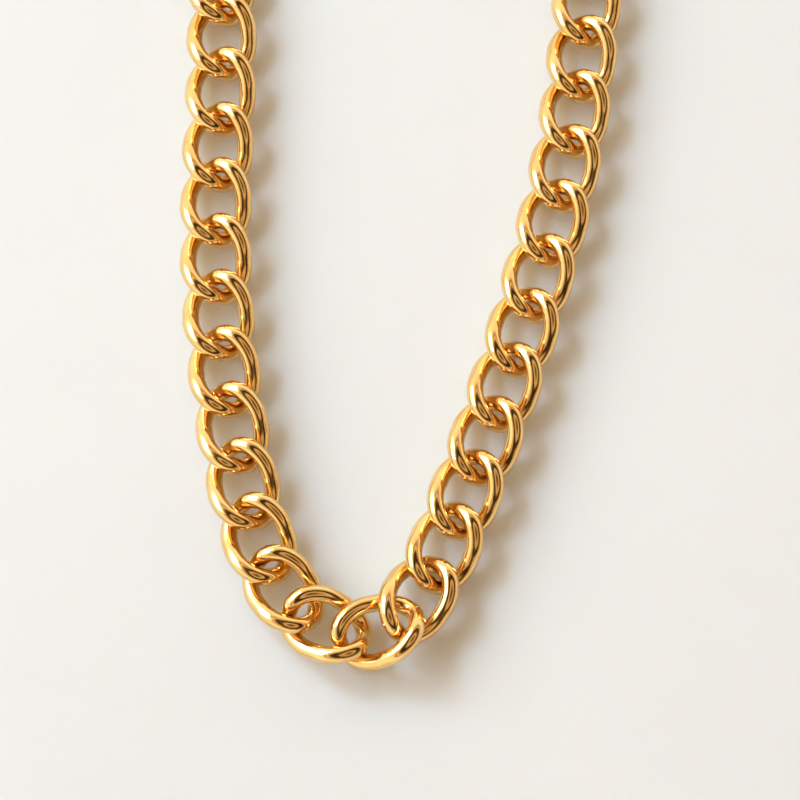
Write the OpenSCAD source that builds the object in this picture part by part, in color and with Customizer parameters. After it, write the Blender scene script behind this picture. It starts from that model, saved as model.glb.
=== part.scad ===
// Curb chain necklace with a lobster clasp, undone and laid out in a long loop.
// It lies on the plane z = 0, with +Z up. The origin is in that plane, under the middle of the loop,
// and +Y runs from the lowest link to the two ends.

/* [Wire] */
// Diameter of the round wire of the links
wire_d = 2; // [1.8:0.05:2.05]

/* [Link] */
// Distance from a link's middle to the centre of the wire at its end
half_length = 4.65; // [4.6:0.05:5]
// Distance from a link's middle to the centre of the wire at its side
half_width = 3.33; // [3.2:0.01:3.6]
// Tilt of the wire out of the chain's plane where it rounds a link's end, degrees
end_tilt = 45; // [38:1:50]
// Length of straight wire in the middle of a link's end
end_straight = 0.6; // [0.4:0.1:1]
// Length of straight wire in the middle of a link's side
side_straight = 1; // [0.6:0.1:1.4]

/* [Chain] */
// Links on the left of the lowest one
left_links = 27; // [14:1:27]
// Links on the right of the lowest one
right_links = 26; // [14:1:26]
// Step from link to link where the chain lies slack, low on the loop
slack_step = 6.8; // [6.7:0.05:7]
// Growth of that step with each link
step_growth = 0.05; // [0:0.01:0.1]
// Step from link to link where the chain lies straight
full_step = 7.1; // [6.9:0.05:7.2]
// Turn of each of the last links of the left side towards the right, degrees
left_curl = 14; // [0:1:16]
// Turn of each of the last links of the right side towards the left, degrees
right_curl = 10; // [0:1:14]
// Number of links that turn at the end of each side
curled_links = 5; // [0:1:6]

/* [Rings] */
// Diameter of the jump rings' wire
ring_wire_d = 1; // [0.8:0.05:1.1]
// Radius of the jump rings, to the middle of their wire
ring_r = 2.8; // [2.7:0.05:3]

/* [Clasp] */
// Thickness of the clasp's body
clasp_t = 2.8; // [2.4:0.1:3.2]
// Distance from the eye's middle to the middle of the claw's round nose
claw_x = 12.6; // [12:0.1:14]
// Radius of the claw's outside at its nose
claw_r = 4.1; // [3.9:0.1:4.5]
// Radius of the claw's opening at its nose
opening_r = 1.95; // [1.7:0.05:2]
// Radius of the eye, to the middle of its wire
eye_r = 2.3; // [2.2:0.05:2.5]
// Diameter of the eye's wire
eye_wire_d = 1.2; // [1.1:0.1:1.4]
// Thickness of the lever
lever_t = 1.2; // [1:0.1:1.4]
// Diameter of the lever's pin
pin_d = 1; // [0.8:0.05:1.1]
// Width of the lever spring's strip
spring_w = 1; // [0.7:0.1:1.1]

/* [Hidden] */
$fn = 48;

// Side links by number, counted from the lowest link: link_left_01 is the first on the left
function two_digits(k) = str(k < 10 ? "0" : "", k);
left_names = [for (k = [1:left_links]) str("link_left_", two_digits(k))];
right_names = [for (k = [1:right_links]) str("link_right_", two_digits(k))];
clasp_names = ["closing_ring", "clasp_ring", "clasp_body", "clasp_lever", "lever_pin", "lever_spring"];

gold = [0.86, 0.66, 0.28];
pale_gold = [0.9, 0.74, 0.4];
steel = [0.75, 0.75, 0.77];

// Straight wire between the two bends of a link's quarter
middle_straight = 0.3;
// A weld's reach to each side of its seam, and how far it stands out of the wire
weld_length = 0.05;
weld_rise = 0.005;

// ---- One link: its centreline is straights and arcs that meet end to end, smooth at every joint

function unit(v) = v / norm(v);

// The wire's place and direction at the middle of a link's end, and of its side
end_point = [half_length, 0, 0];
end_way = [0, cos(end_tilt), -sin(end_tilt)];
side_rise = atan(end_tilt * PI / 180 * half_width / half_length);
side_point = [0, half_width, 0];
side_way = [-cos(side_rise), 0, sin(side_rise)];

// The quarter of a link between the two is an arc, a short straight and another arc
arc_start = end_point + end_way * end_straight / 2;
arc_finish = side_point - side_way * side_straight / 2;
span = arc_finish - arc_start;
square_term = 2 * (1 - end_way * side_way);
linear_term = 2 * span * (end_way + side_way) + 4 * middle_straight;
free_term = span * span - middle_straight * middle_straight;
reach = (sqrt(linear_term * linear_term + 4 * square_term * free_term) - linear_term)
    / (2 * square_term);
corner_1 = arc_start + reach * end_way;
corner_2 = arc_finish - reach * side_way;
middle_way = unit(corner_2 - corner_1);
middle_start = corner_1 + reach * middle_way;
middle_finish = corner_2 - reach * middle_way;

// Half of an arc's turn, from its start, its first direction and its finish
function half_turn(from, way, to) = acos(unit(to - from) * way);

// An arc of round bar about the origin, from +X towards +Y
module round_arc(radius, angle, d)
    rotate_extrude(angle = angle)
        translate([radius, 0])
            circle(d = d);

// A bent length of wire that leaves a point along a direction and ends at another point.
// A collar of weld at each end covers the seam with the straight wire beyond it.
module wire_arc(from, way, to) {
    turn = 2 * half_turn(from, way, to);
    radius = norm(to - from) / (2 * sin(turn / 2));
    axis = unit(cross(way, to - from));
    inward = cross(axis, way);
    centre = from + radius * inward;
    weld_angle = weld_length / radius * 180 / PI;
    multmatrix([for (i = [0:2]) [-inward[i], way[i], axis[i], centre[i]]]) {
        round_arc(radius, turn, wire_d);
        for (seam = [0, turn])
            rotate([0, 0, seam - weld_angle])
                round_arc(radius, 2 * weld_angle, wire_d + 2 * weld_rise);
    }
}

// A straight length of wire with its middle at a point
module wire_run(middle, way, length)
    translate(middle)
        rotate([0, acos(way.z), atan2(way.y, way.x)])
            cylinder(d = wire_d, h = length, center = true);

// A link at the origin, with its length along X and its width along Y
module link_shape() {
    for (half = [0, 180])
        rotate([0, 0, half]) {
            wire_run(end_point, end_way, end_straight);
            wire_run(side_point, side_way, side_straight);
            for (flip = [0, 180])
                rotate([flip, 0, 0]) {
                    wire_arc(arc_start, end_way, middle_start);
                    wire_run((middle_start + middle_finish) / 2, middle_way, middle_straight);
                    wire_arc(middle_finish, middle_way, arc_finish);
                }
        }
}

// Height of a flat link's middle: half of its wire's rise, and half the wire's thickness
function arc_heights(from, way, to) =
    let(
        turn = half_turn(from, way, to),
        radius = norm(to - from) / (2 * sin(turn)),
        inward = cross(unit(cross(way, to - from)), way)
    )
    [for (part = [0:0.1:1]) (from + radius * (way * sin(2 * turn * part)
        + inward * (1 - cos(2 * turn * part)))).z];
heights = concat(
    arc_heights(arc_start, end_way, middle_start),
    arc_heights(middle_finish, middle_way, arc_finish)
);
flat_height = max([for (z = heights) abs(z)]) + wire_d / 2;

// ---- Where the links lie: x, y, z, yaw, pitch and roll of each

// Middle of the loop, which is moved to the origin
loop_middle = [0.9, 67.23];
// The lowest links lean on each other where the chain turns round
low_middle = [-2.6, -27.46, 2.95, 15.8, 8.4, -3.8];
low_left = [[-8.65, -26.77, 2.46, -24.2, -0.7, -5.8], [-13.62, -22.67, 2.34, 305.4, 1.3, -5.1]];
low_right = [[1.88, -23.58, 2.8, 58.7, -10.4, 5.1]];
// The rest lie flat: the first one's middle and heading on each side, and the bends from there on
left_start = [-16.64, -16.63];
left_heading = 110;
left_bends = [-7, -3, -2, -3, -3, -2, -2, 1, 2, 2];
right_start = [5.09, -17.54];
right_heading = 68;
right_bends = [1, 1, 1, 2, 1, 2, 2, 3, 2, 2, 1];

function step(k) = min(full_step, slack_step + step_growth * k);
function along(heading, length) = length * [cos(heading), sin(heading)];

// Bends padded with straight and then curled joints, for a number of flat links
function all_bends(bends, count, curl) =
    let(straight = max(0, count - 1 - len(bends) - curled_links))
    [for (k = [0:count - 2]) k < len(bends) ? bends[k] : k < len(bends) + straight ? 0 : curl];

function laid(middle, heading, bends, k = 0) =
    let(
        next = heading + (k < len(bends) ? bends[k] : 0),
        next_middle = middle + along(heading, step(k) / 2) + along(next, step(k + 1) / 2)
    )
    concat(
        [[middle.x, middle.y, flat_height, heading, 0, 0]],
        k < len(bends) ? laid(next_middle, next, bends, k + 1) : []
    );

left_flat = laid(left_start, left_heading,
    all_bends(left_bends, left_links - len(low_left), -left_curl));
right_flat = laid(right_start, right_heading,
    all_bends(right_bends, right_links - len(low_right), right_curl));
left_rows = concat(low_left, left_flat);
right_rows = concat(low_right, right_flat);

module place(row)
    translate([row[0] - loop_middle.x, row[1] - loop_middle.y, row[2]])
        rotate([0, 0, row[3]])
            rotate([0, -row[4], 0])
                rotate([row[5], 0, 0])
                    children();

module link(row)
    color(gold)
        place(row)
            link_shape();

// ---- Jump rings: each hangs on the end of a side, square to the wire of its last link

// Gap between a ring's wire and what it holds
ring_gap = 0.15;
// Length of straight wire where a ring bears on what it holds
ring_straight = 0.4;

// A ring leans as far as the wire that it hangs on, and its lower edge is on the surface
ring_lean = 90 - end_tilt;
ring_height = ring_r * sin(ring_lean) + ring_wire_d / 2;

// A ring's row: it leaves the end of a link's row along a heading
function ring_row(last, heading) =
    let(
        middle = along(last[3], half_length)
            + along(heading, ring_r - (ring_wire_d + wire_d) / 2 - ring_gap)
    )
    [last[0] + middle.x, last[1] + middle.y, ring_height, heading, 0, ring_lean];

closing_heading = left_flat[len(left_flat) - 1][3] - 8;
clasp_ring_heading = right_flat[len(right_flat) - 1][3] - 12;
closing_row = ring_row(left_flat[len(left_flat) - 1], closing_heading);
clasp_ring_row = ring_row(right_flat[len(right_flat) - 1], clasp_ring_heading);

module ring_shape()
    for (half = [0, 180])
        rotate([0, 0, half]) {
            translate([ring_r, 0, 0])
                rotate([90, 0, 0])
                    cylinder(d = ring_wire_d, h = ring_straight, center = true);
            translate([0, ring_straight / 2, 0])
                rotate_extrude(angle = 180)
                    translate([ring_r, 0])
                        circle(d = ring_wire_d);
        }

module closing_ring()
    color(gold)
        place(closing_row)
            ring_shape();

module clasp_ring()
    color(gold)
        place(clasp_ring_row)
            ring_shape();

// ---- Clasp: a lobster claw with its eye at its own origin, its length along X and its mouth on +Y

// Room between the lever and the slot that it turns in, on each side
slot_gap = 0.15;
// Room between the pin and the lever's bore, all round
pin_gap = 0.1;
// The body's root, behind the lever, and its radius
root_x = 4.6;
root_r = 2.2;
// The opening's narrow end and its radius
throat_x = 9.2;
throat_r = 1.5;
// The mouth's two edges along the claw
mouth_back = 8.6;
mouth_front = 14.3;
// Corners of the slot's floor, from the back to its lowest point in the opening
slot_back = [3.6, 1];
slot_heel = [4.7, -0.75];
slot_toe = [9.4, -1.6];
// The lever's pin
pin_at = [6.4, 0.9];
// The lever: its heel on the pin, its knee, its tip and its thumb tab, with their radii
heel_r = 1.25;
knee = [10.2, 2.55];
knee_r = 0.75;
tip = [13.4, 2.35];
tip_r = 0.6;
tab = [7.1, 3.7];
tab_r = 0.75;

// The spring's bend, its foot on the slot's floor and its hand under the lever, with their radii
spring_bend = [7, -0.8];
spring_bend_r = 0.2;
spring_foot = [9.2, -1.35];
spring_hand = [9.2, 0.8];
spring_end_r = 0.15;

// Room between the eye and the last link's wire, which share the ring
eye_gap = 0.3;
// The eye hangs in the ring, and the clasp's nose rests on the surface
clasp_heading = clasp_ring_heading + 4;
clasp_row =
    let(
        to_wire = wire_d + ring_wire_d / 2 + ring_gap + eye_gap + eye_wire_d / 2 - ring_r,
        to_eye = along(clasp_ring_heading, to_wire) + along(clasp_heading, eye_r),
        drop = asin((flat_height - clasp_t / 2) / (claw_x + claw_r))
    )
    [clasp_ring_row[0] + to_eye.x, clasp_ring_row[1] + to_eye.y, flat_height,
        clasp_heading, -drop, 0];

// A flat bar with a round end on each of two points, and straight sides that run into the rounds
module bar(p, p_r, q, q_r) {
    lean = acos((p_r - q_r) / norm(q - p));
    run = atan2(q.y - p.y, q.x - p.x);
    translate(p)
        circle(p_r);
    translate(q)
        circle(q_r);
    polygon([
        p + along(run - lean, p_r),
        q + along(run - lean, q_r),
        q + along(run + lean, q_r),
        p + along(run + lean, p_r)
    ]);
}

module plate(thickness)
    translate([0, 0, -thickness / 2])
        linear_extrude(thickness)
            children();

module clasp_body()
    color(pale_gold)
        place(clasp_row) {
            difference() {
                plate(clasp_t)
                    bar([root_x, 0], root_r, [claw_x, 0], claw_r);
                // the opening, and the mouth that the lever closes
                plate(2 * clasp_t)
                    bar([throat_x, 0], throat_r, [claw_x, 0], opening_r);
                plate(2 * clasp_t)
                    polygon([[mouth_back, 0], [mouth_front, 0], [mouth_front, claw_r], [mouth_back, claw_r]]);
                // the slot for the lever and its spring
                plate(lever_t + 2 * slot_gap)
                    polygon([slot_heel, slot_toe, [slot_toe.x, claw_r], [slot_back.x, claw_r], slot_back]);
                translate(pin_at)
                    cylinder(d = pin_d, h = 2 * clasp_t, center = true);
            }
            rotate_extrude()
                translate([eye_r, 0])
                    circle(d = eye_wire_d);
        }

module clasp_lever()
    color(gold)
        place(clasp_row)
            difference() {
                plate(lever_t) {
                    bar(pin_at, heel_r, knee, knee_r);
                    bar(knee, knee_r, tip, tip_r);
                    bar(pin_at, heel_r, tab, tab_r);
                }
                translate(pin_at)
                    cylinder(d = pin_d + 2 * pin_gap, h = 2 * lever_t, center = true);
            }

module lever_pin()
    color(steel)
        place(clasp_row)
            translate(pin_at)
                cylinder(d = pin_d, h = clasp_t, center = true);

// A V of spring strip in the slot: one leg lies on the floor, and the other bears on the lever
module lever_spring()
    color(steel)
        place(clasp_row)
            plate(spring_w)
                for (leg_end = [spring_foot, spring_hand])
                    bar(spring_bend, spring_bend_r, leg_end, spring_end_r);

link(low_middle);  // link_middle
for (k = [0:left_links - 1])
    link(left_rows[k]);
for (k = [0:right_links - 1])
    link(right_rows[k]);
closing_ring();
clasp_ring();
clasp_body();
clasp_lever();
lever_pin();
lever_spring();
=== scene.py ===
import math

import bpy
import numpy as np
from mathutils import Matrix, Vector


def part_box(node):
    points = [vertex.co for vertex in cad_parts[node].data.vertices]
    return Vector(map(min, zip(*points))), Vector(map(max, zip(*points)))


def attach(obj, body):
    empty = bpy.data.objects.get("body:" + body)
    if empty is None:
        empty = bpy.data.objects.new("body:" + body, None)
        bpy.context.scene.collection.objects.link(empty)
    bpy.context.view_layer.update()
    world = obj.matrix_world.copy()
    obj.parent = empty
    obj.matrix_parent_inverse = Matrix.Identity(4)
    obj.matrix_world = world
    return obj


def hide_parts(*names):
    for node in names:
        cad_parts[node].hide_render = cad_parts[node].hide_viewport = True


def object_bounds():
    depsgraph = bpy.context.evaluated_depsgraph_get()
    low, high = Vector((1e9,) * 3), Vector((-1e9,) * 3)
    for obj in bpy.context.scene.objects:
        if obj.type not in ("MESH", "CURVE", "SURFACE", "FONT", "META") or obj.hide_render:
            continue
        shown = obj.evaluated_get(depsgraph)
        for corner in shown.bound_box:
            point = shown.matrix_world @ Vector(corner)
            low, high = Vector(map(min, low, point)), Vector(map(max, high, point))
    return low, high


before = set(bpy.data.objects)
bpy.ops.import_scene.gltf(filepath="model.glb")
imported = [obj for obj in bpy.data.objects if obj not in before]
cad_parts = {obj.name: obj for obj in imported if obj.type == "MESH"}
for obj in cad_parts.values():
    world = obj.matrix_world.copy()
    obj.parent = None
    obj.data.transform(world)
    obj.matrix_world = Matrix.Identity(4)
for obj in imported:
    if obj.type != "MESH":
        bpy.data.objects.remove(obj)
cad_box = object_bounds()

MM = 0.001

# ---------------------------------------------------------------- the wire of one link, in mm

# The same numbers as the CAD's link.
WIRE_R = 1.0
HALF_LENGTH = 4.65
HALF_WIDTH = 3.33
END_TILT = math.radians(45)
END_STRAIGHT = 0.6
SIDE_STRAIGHT = 1.0

# The tube's rings lie this far apart, and have this many sides.
RING_STEP = 0.1
SIDES = 32

# The solder seam: how far it is along the wire, half its width, and how deep it goes.
SEAM_AT = 1.15
SEAM_HALF = 0.06
SEAM_DEPTH = 0.15


def arc(start, way, end):
    """Points along the arc that leaves start in the direction way and ends at end."""
    chord = end - start
    half = chord.angle(way)
    radius = chord.length / (2 * math.sin(half))
    inward = way.cross(chord).normalized().cross(way)
    count = max(2, round(2 * half * radius / RING_STEP))
    turns = [2 * half * k / count for k in range(1, count + 1)]
    return [start + radius * (way * math.sin(t) + inward * (1 - math.cos(t))) for t in turns]


def straight(start, end):
    """Points along a straight, without its start."""
    count = max(1, round((end - start).length / RING_STEP))
    return [start.lerp(end, k / count) for k in range(1, count + 1)]


def link_path():
    """The closed middle line of a link's wire, from the crown of one end round to itself."""
    end = Vector((HALF_LENGTH, 0, 0))
    end_way = Vector((0, math.cos(END_TILT), -math.sin(END_TILT)))
    rise = math.atan(END_TILT * HALF_WIDTH / HALF_LENGTH)
    side = Vector((0, HALF_WIDTH, 0))
    side_way = Vector((-math.cos(rise), 0, math.sin(rise)))
    first = end + end_way * END_STRAIGHT / 2
    last = side - side_way * SIDE_STRAIGHT / 2
    span = last - first
    square = 2 * (1 - end_way.dot(side_way))
    linear = 2 * span.dot(end_way + side_way)
    reach = (math.sqrt(linear**2 + 4 * square * span.dot(span)) - linear) / (2 * square)
    corner_a = first + reach * end_way
    corner_b = last - reach * side_way
    middle = (corner_a + corner_b) / 2
    quarter = [end] + straight(end, first) + arc(first, end_way, middle)
    quarter += arc(middle, (corner_b - corner_a).normalized(), last) + straight(last, side)
    second = [Vector((-p.x, p.y, -p.z)) for p in reversed(quarter)][1:]
    half = quarter + second
    return half + [Vector((-p.x, -p.y, p.z)) for p in half][1:-1]


# ---------------------------------------------------------------- mesh builders


def add_object(name, mesh):
    """A new object in the scene that shows a mesh."""
    piece = bpy.data.objects.new(name, mesh)
    bpy.context.scene.collection.objects.link(piece)
    return piece


def smooth(mesh):
    """Shades every face of a mesh smooth."""
    mesh.polygons.foreach_set("use_smooth", [True] * len(mesh.polygons))
    mesh.update()


def with_seam(points, at):
    """The points, with one more close on each side of the one at mm along, and its index."""
    along = 0.0
    k = 0
    while along < at:
        along += (points[k + 1] - points[k]).length
        k += 1
    here = points[k]
    before = here + (points[k - 1] - here).normalized() * SEAM_HALF
    after = here + (points[k + 1] - here).normalized() * SEAM_HALF
    return points[:k] + [before, here, after] + points[k + 1 :], k + 1


def ways_along(points, closed):
    """The direction of the path at each point."""
    last = len(points) - 1
    ways = []
    for k, here in enumerate(points):
        before = points[k - 1] if closed or k > 0 else here
        after = points[(k + 1) % len(points)] if closed or k < last else here
        ways.append((after - before).normalized())
    return ways


def tube_mesh(name, points, radii, place, closed=True):
    """A round tube along points in mm, with its radius at each, moved by the matrix place."""
    count = len(points)
    ways = ways_along(points, closed)
    across = [ways[0].orthogonal().normalized()]
    for way in ways[1:]:
        across.append((across[-1] - way * across[-1].dot(way)).normalized())
    twist = 0.0
    if closed:
        back = (across[-1] - ways[0] * across[-1].dot(ways[0])).normalized()
        twist = math.atan2(ways[0].cross(across[0]).dot(back), across[0].dot(back))
    verts = []
    for k, (point, way, side) in enumerate(zip(points, ways, across)):
        other = way.cross(side)
        shift = -twist * k / count
        for s in range(SIDES):
            angle = 2 * math.pi * s / SIDES + shift
            out = side * math.cos(angle) + other * math.sin(angle)
            verts.append(place @ ((point + radii[k] * out) * MM))
    faces = []
    for k in range(count if closed else count - 1):
        a, b = k * SIDES, (k + 1) % count * SIDES
        faces += [(a + s, a + (s + 1) % SIDES, b + (s + 1) % SIDES, b + s) for s in range(SIDES)]
    if not closed:
        faces += [tuple(reversed(range(SIDES))), tuple(range((count - 1) * SIDES, count * SIDES))]
    mesh = bpy.data.meshes.new(name)
    mesh.from_pydata(verts, [], faces)
    smooth(mesh)
    return mesh


# ---------------------------------------------------------------- where the CAD parts lie


def surface_axes(node):
    """The middle of a CAD node's surface, and its directions of least, middle and most spread."""
    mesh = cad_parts[node].data
    mesh.calc_loop_triangles()
    verts = np.empty(len(mesh.vertices) * 3)
    mesh.vertices.foreach_get("co", verts)
    corners = np.empty(len(mesh.loop_triangles) * 3, dtype=np.int32)
    mesh.loop_triangles.foreach_get("vertices", corners)
    tris = verts.reshape(-1, 3)[corners.reshape(-1, 3)]
    areas = np.linalg.norm(np.cross(tris[:, 1] - tris[:, 0], tris[:, 2] - tris[:, 0]), axis=1)
    middles = tris.mean(axis=1)
    centre = (areas[:, None] * middles).sum(axis=0) / areas.sum()
    spread = np.zeros((3, 3))
    # Exact for flat triangles: a twelfth of the area at each corner, and the rest at the middle.
    for points, weight in ((tris[:, 0], 1), (tris[:, 1], 1), (tris[:, 2], 1), (middles, 9)):
        away = points - centre
        spread += np.einsum("n,ni,nj->ij", areas * weight / 12, away, away)
    axes = np.linalg.eigh(spread)[1].T
    return Vector(centre), [Vector(axis) for axis in axes]


def turned(axis, towards):
    """The axis, or its opposite, whichever points towards a direction."""
    return axis if axis.dot(towards) >= 0 else -axis


def placed(origin, length_way, up_way):
    """A matrix with X along length_way, Z along up_way and its origin at a point in metres."""
    side_way = up_way.cross(length_way)
    columns = Matrix((length_way, side_way, up_way)).transposed().to_4x4()
    return Matrix.Translation(origin) @ columns


def link_placing(node):
    """Where a link lies: its long way towards +Y, its flat side up."""
    centre, axes = surface_axes(node)
    return placed(centre, turned(axes[2], Vector((0, 1, 0))), turned(axes[0], Vector((0, 0, 1))))


# ---------------------------------------------------------------- materials


def new_material(name):
    """A node material, its tree and its Principled shader."""
    material = bpy.data.materials.new(name)
    material.use_nodes = True
    tree = material.node_tree
    return material, tree, tree.nodes["Principled BSDF"]


# Noise keeps mostly between these values.
NOISE_SPAN = (0.3, 0.7)


def noise(tree, scale, detail, stretch=None):
    """Noise over the object's own coordinates; scale is waves in a metre."""
    coords = tree.nodes.new("ShaderNodeTexCoord").outputs["Object"]
    if stretch:
        mapping = tree.nodes.new("ShaderNodeMapping")
        mapping.inputs["Scale"].default_value = stretch
        tree.links.new(coords, mapping.inputs["Vector"])
        coords = mapping.outputs["Vector"]
    node = tree.nodes.new("ShaderNodeTexNoise")
    node.inputs["Scale"].default_value = scale
    node.inputs["Detail"].default_value = detail
    tree.links.new(coords, node.inputs["Vector"])
    return node.outputs["Fac"]


def remap(tree, value, low, high):
    """Noise stretched to run from low to high."""
    node = tree.nodes.new("ShaderNodeMapRange")
    node.inputs["From Min"].default_value, node.inputs["From Max"].default_value = NOISE_SPAN
    node.inputs["To Min"].default_value = low
    node.inputs["To Max"].default_value = high
    tree.links.new(value, node.inputs["Value"])
    return node.outputs["Result"]


def ramp(tree, value, stops):
    """value turned into a colour by stops of (position, colour)."""
    node = tree.nodes.new("ShaderNodeValToRGB")
    elements = node.color_ramp.elements
    while len(elements) < len(stops):
        elements.new(0.5)
    for element, (at, colour) in zip(elements, stops):
        element.position = at
        element.color = (*colour, 1)
    tree.links.new(value, node.inputs["Fac"])
    return node.outputs["Color"]


# Waves in a metre and detail of each pattern, and how deep the scratches are, in metres.
PATCHES = (260, 3)
HAZE = (900, 5)
SCRATCHES = (2600, 6)
SCRATCH_STRETCH = (1.0, 0.35, 1.0)
SCRATCH_DEPTH = 0.00002
DEEP_AT, LIGHT_AT = 0.32, 0.68


def polished_metal(name, light, deep, roughness, scratch):
    """Polished metal: colour drifting between two tones, roughness in patches, fine scratches."""
    material, tree, shader = new_material(name)
    shader.inputs["Metallic"].default_value = 1.0
    tone = ramp(tree, noise(tree, *PATCHES), ((DEEP_AT, deep), (LIGHT_AT, light)))
    tree.links.new(tone, shader.inputs["Base Color"])
    haze = remap(tree, noise(tree, *HAZE), *roughness)
    tree.links.new(haze, shader.inputs["Roughness"])
    bump = tree.nodes.new("ShaderNodeBump")
    bump.inputs["Strength"].default_value = scratch
    bump.inputs["Distance"].default_value = SCRATCH_DEPTH
    scratches = noise(tree, *SCRATCHES, SCRATCH_STRETCH)
    tree.links.new(scratches, bump.inputs["Height"])
    tree.links.new(bump.outputs["Normal"], shader.inputs["Normal"])
    return material


# The light tone, the deep tone, the roughness from and to, and the scratches' strength.
GOLD = ((0.92, 0.65, 0.30), (0.84, 0.54, 0.21), (0.11, 0.20), 0.25)
CLASP_GOLD = ((0.88, 0.65, 0.31), (0.80, 0.56, 0.23), (0.14, 0.25), 0.3)
SPRING_STEEL = ((0.62, 0.61, 0.59), (0.5, 0.49, 0.47), (0.3, 0.45), 0.5)

gold = polished_metal("gold", *GOLD)
clasp_gold = polished_metal("clasp_gold", *CLASP_GOLD)
spring_steel = polished_metal("spring_steel", *SPRING_STEEL)


def finish_piece(piece, material, body, node):
    """Gives a new piece its material, hangs it from its body's empty and hides the CAD part it
    replaces.
    """
    piece.data.materials.append(material)
    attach(piece, body)
    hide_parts(node)


# ---------------------------------------------------------------- links and rings

link_points, link_seam = with_seam(link_path(), SEAM_AT)
link_radii = [WIRE_R] * len(link_points)
link_radii[link_seam] -= SEAM_DEPTH

for link in [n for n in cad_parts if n.startswith("link_")]:
    mesh = tube_mesh(link, link_points, link_radii, link_placing(link))
    finish_piece(add_object(link + "_wire", mesh), gold, link, link)

# The ring's wire, and the depth of the cut between its ends, in mm.
RING_WIRE_R = 0.5
RING_CUT = 0.1


def ring_mesh(node):
    """A ring bent from round wire, whose two ends meet at a fine cut."""
    centre, axes = surface_axes(node)
    verts = [v.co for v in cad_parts[node].data.vertices]
    reach = max((v - centre).length for v in verts) / MM
    radius = reach - RING_WIRE_R
    count = round(2 * math.pi * radius / RING_STEP)
    turns = [2 * math.pi * k / count for k in range(count)]
    circle = [Vector((radius * math.cos(t), radius * math.sin(t), 0)) for t in turns]
    points, seam = with_seam(circle, radius * math.pi / 2)
    radii = [RING_WIRE_R] * len(points)
    radii[seam] -= RING_CUT
    up = turned(axes[0], Vector((0, 0, 1)))
    length_way = up.cross(Vector((1, 0, 0))).normalized()
    return tube_mesh(node, points, radii, placed(centre, length_way, up))


for ring in ("closing_ring", "clasp_ring"):
    finish_piece(add_object(ring + "_wire", ring_mesh(ring)), gold, ring, ring)

# ---------------------------------------------------------------- the clasp

# The voxel in mm, and the rounds of smoothing.
BODY_CAST = (0.09, 8)
LEVER_CAST = (0.06, 6)
EVEN_FACTOR = 0.5


def cast_piece(node, voxel, rounds):
    """The CAD part as a casting: the same shape, with its edges rounded."""
    centre, axes = surface_axes(node)
    up = turned(axes[0], Vector((0, 0, 1)))
    place = placed(centre, turned(axes[2], Vector((0, 1, 0))), up)
    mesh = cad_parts[node].data.copy()
    mesh.name = node + "_cast"
    mesh.materials.clear()
    mesh.transform(Matrix.Scale(1 / MM, 4) @ place.inverted())
    piece = add_object(node + "_cast", mesh)
    remesh = piece.modifiers.new("remesh", "REMESH")
    remesh.mode = "VOXEL"
    remesh.voxel_size = voxel
    even = piece.modifiers.new("even", "SMOOTH")
    even.factor = EVEN_FACTOR
    even.iterations = rounds
    graph = bpy.context.evaluated_depsgraph_get()
    cast = bpy.data.meshes.new_from_object(piece.evaluated_get(graph))
    piece.modifiers.clear()
    piece.data = cast
    cast.transform(place @ Matrix.Scale(MM, 4))
    smooth(cast)
    return piece


clasp_body = cast_piece("clasp_body", *BODY_CAST)
finish_piece(clasp_body, clasp_gold, "clasp", "clasp_body")
clasp_lever = cast_piece("clasp_lever", *LEVER_CAST)
finish_piece(clasp_lever, clasp_gold, "lever", "clasp_lever")

# The pin and its two domes, in mm, with the rings that make a dome and the angle they cover.
PIN_R = 0.5
PIN_PROUD = 0.06
DOME_RINGS = 6
DOME_TURN = math.radians(83)


def pin_mesh(node):
    """The lever's pin, with its two ends peened into low domes."""
    centre, axes = surface_axes(node)
    along = turned(axes[2], Vector((0, 0, 1)))
    reach = max(abs((v.co - centre).dot(along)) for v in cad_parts[node].data.vertices) / MM
    edge = reach - PIN_PROUD
    turns = [DOME_TURN * k / DOME_RINGS for k in range(DOME_RINGS + 1)]
    dome = [(edge + 2 * PIN_PROUD * math.sin(t), PIN_R * math.cos(t)) for t in turns]
    profile = [(-x, r) for x, r in reversed(dome)] + dome
    points = [Vector((0, 0, x)) for x, r in profile]
    radii = [r for x, r in profile]
    place = placed(centre, along.orthogonal().normalized(), along)
    return tube_mesh(node, points, radii, place, closed=False)


pin = add_object("lever_pin_domed", pin_mesh("lever_pin"))
finish_piece(pin, clasp_gold, "clasp", "lever_pin")

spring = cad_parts["lever_spring"]
spring.data.materials.clear()
spring.data.materials.append(spring_steel)

# ---------------------------------------------------------------- floor, light and camera

# In metres, but for the pattern's waves in a metre and detail.
FLOOR_HALF = 3.0
FLOOR_DROP = 0.00002
FLOOR_PATTERN = (9, 3)
FLOOR_TONES = ((0.35, (0.725, 0.80, 0.885)), (0.65, (0.755, 0.83, 0.915)))
FLOOR_ROUGHNESS = 0.65
SCATTER_WEIGHT = 0.85
SCATTER_RADIUS = (1.0, 0.6, 0.38)
SCATTER_SCALE = 0.012


def floor_material():
    """Pale matt stone, which light scatters into a little and comes out warmer."""
    material, tree, shader = new_material("pale_floor")
    tone = ramp(tree, noise(tree, *FLOOR_PATTERN), FLOOR_TONES)
    tree.links.new(tone, shader.inputs["Base Color"])
    shader.inputs["Roughness"].default_value = FLOOR_ROUGHNESS
    shader.subsurface_method = "BURLEY"
    shader.inputs["Subsurface Weight"].default_value = SCATTER_WEIGHT
    shader.inputs["Subsurface Radius"].default_value = SCATTER_RADIUS
    shader.inputs["Subsurface Scale"].default_value = SCATTER_SCALE
    return material


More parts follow.
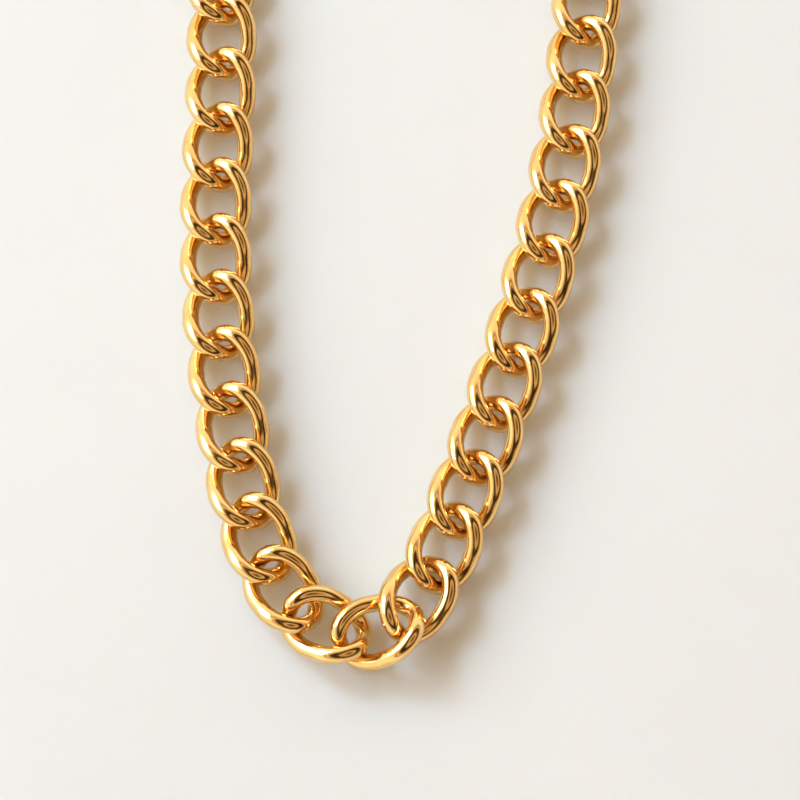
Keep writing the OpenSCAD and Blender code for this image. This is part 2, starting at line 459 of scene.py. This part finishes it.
floor_z = cad_box[0].z - FLOOR_DROP
signs = ((-1, -1), (1, -1), (1, 1), (-1, 1))
corners = [(x * FLOOR_HALF, y * FLOOR_HALF, floor_z) for x, y in signs]
floor_mesh = bpy.data.meshes.new("floor")
floor_mesh.from_pydata(corners, [], [(0, 1, 2, 3)])
floor_mesh.materials.append(floor_material())
add_object("floor", floor_mesh)

# What the camera and the lights face, in mm from the middle of the lowest link.
TARGET_FROM_MIDDLE = (2.6, 27.46, -0.55)
lo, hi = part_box("link_middle")
TARGET = (lo + hi) / 2 + Vector(TARGET_FROM_MIDDLE) * MM


def direction(azimuth, elevation):
    """A direction from the target, azimuth 0 towards the front and 90 towards the right."""
    a, e = math.radians(azimuth), math.radians(elevation)
    return Vector((math.sin(a) * math.cos(e), -math.cos(a) * math.cos(e), math.sin(e)))


def aim(obj, azimuth, elevation, distance):
    """Puts obj that far from the target in that direction, facing it."""
    away = direction(azimuth, elevation)
    obj.location = TARGET + away * distance
    obj.rotation_euler = (-away).to_track_quat("-Z", "Y").to_euler()


def area_light(name, azimuth, elevation, distance, size, power, colour):
    """A soft light of two sides in metres that faces the target."""
    lamp = bpy.data.lights.new(name, "AREA")
    lamp.shape = "RECTANGLE"
    lamp.size, lamp.size_y = size
    lamp.energy = power
    lamp.color = colour
    light = bpy.data.objects.new(name, lamp)
    bpy.context.scene.collection.objects.link(light)
    aim(light, azimuth, elevation, distance)


# Azimuth, elevation, distance, size, power and colour.
KEY = (-138, 38, 1.8, (0.36, 0.36), 11.5, (0.9, 0.97, 1.0))
WINDOW = (-110, 34, 1.8, (1.45, 1.1), 23, (0.95, 0.98, 1.0))

area_light("key", *KEY)
area_light("window", *WINDOW)

# The room's tone by the cosine of the angle from the middle of its dark patch.
DARK_AZIMUTH = 60
DARK_ELEVATION = 68
ROOM_STRENGTH = 1.6
ROOM_TONES = (
    (0.20, (0.95, 0.78, 0.6)),
    (0.44, (0.8, 0.62, 0.44)),
    (0.52, (0.05, 0.03, 0.015)),
    (0.60, (0.85, 0.62, 0.38)),
    (0.67, (0.03, 0.018, 0.008)),
    (0.85, (0.02, 0.012, 0.005)),
    (0.92, (0.6, 0.42, 0.24)),
    (1.00, (0.05, 0.03, 0.01)),
)


def studio_world():
    """A pale room with a dark patch above and to the right, crossed by fainter bright rings."""
    world = bpy.data.worlds.new("studio")
    world.use_nodes = True
    tree = world.node_tree
    coords = tree.nodes.new("ShaderNodeTexCoord").outputs["Generated"]
    dot = tree.nodes.new("ShaderNodeVectorMath")
    dot.operation = "DOT_PRODUCT"
    dot.inputs[1].default_value = direction(DARK_AZIMUTH, DARK_ELEVATION)
    tree.links.new(coords, dot.inputs[0])
    tone = ramp(tree, dot.outputs["Value"], ROOM_TONES)
    tree.links.new(tone, tree.nodes["Background"].inputs["Color"])
    tree.nodes["Background"].inputs["Strength"].default_value = ROOM_STRENGTH
    return world


bpy.context.scene.world = studio_world()
bpy.context.scene.view_settings.view_transform = "Standard"

# The sensor and the lens in mm, the elevation in degrees, and the rest in metres.
SENSOR = 36
LENS = 95.7
CLIP_START = 0.005
CAMERA_ELEVATION = 78
CAMERA_DISTANCE = 0.252

lens = bpy.data.cameras.new("camera")
lens.sensor_width = SENSOR
lens.lens = LENS
lens.clip_start = CLIP_START
camera = bpy.data.objects.new("camera", lens)
bpy.context.scene.collection.objects.link(camera)
aim(camera, 0, CAMERA_ELEVATION, CAMERA_DISTANCE)
bpy.context.scene.camera = camera
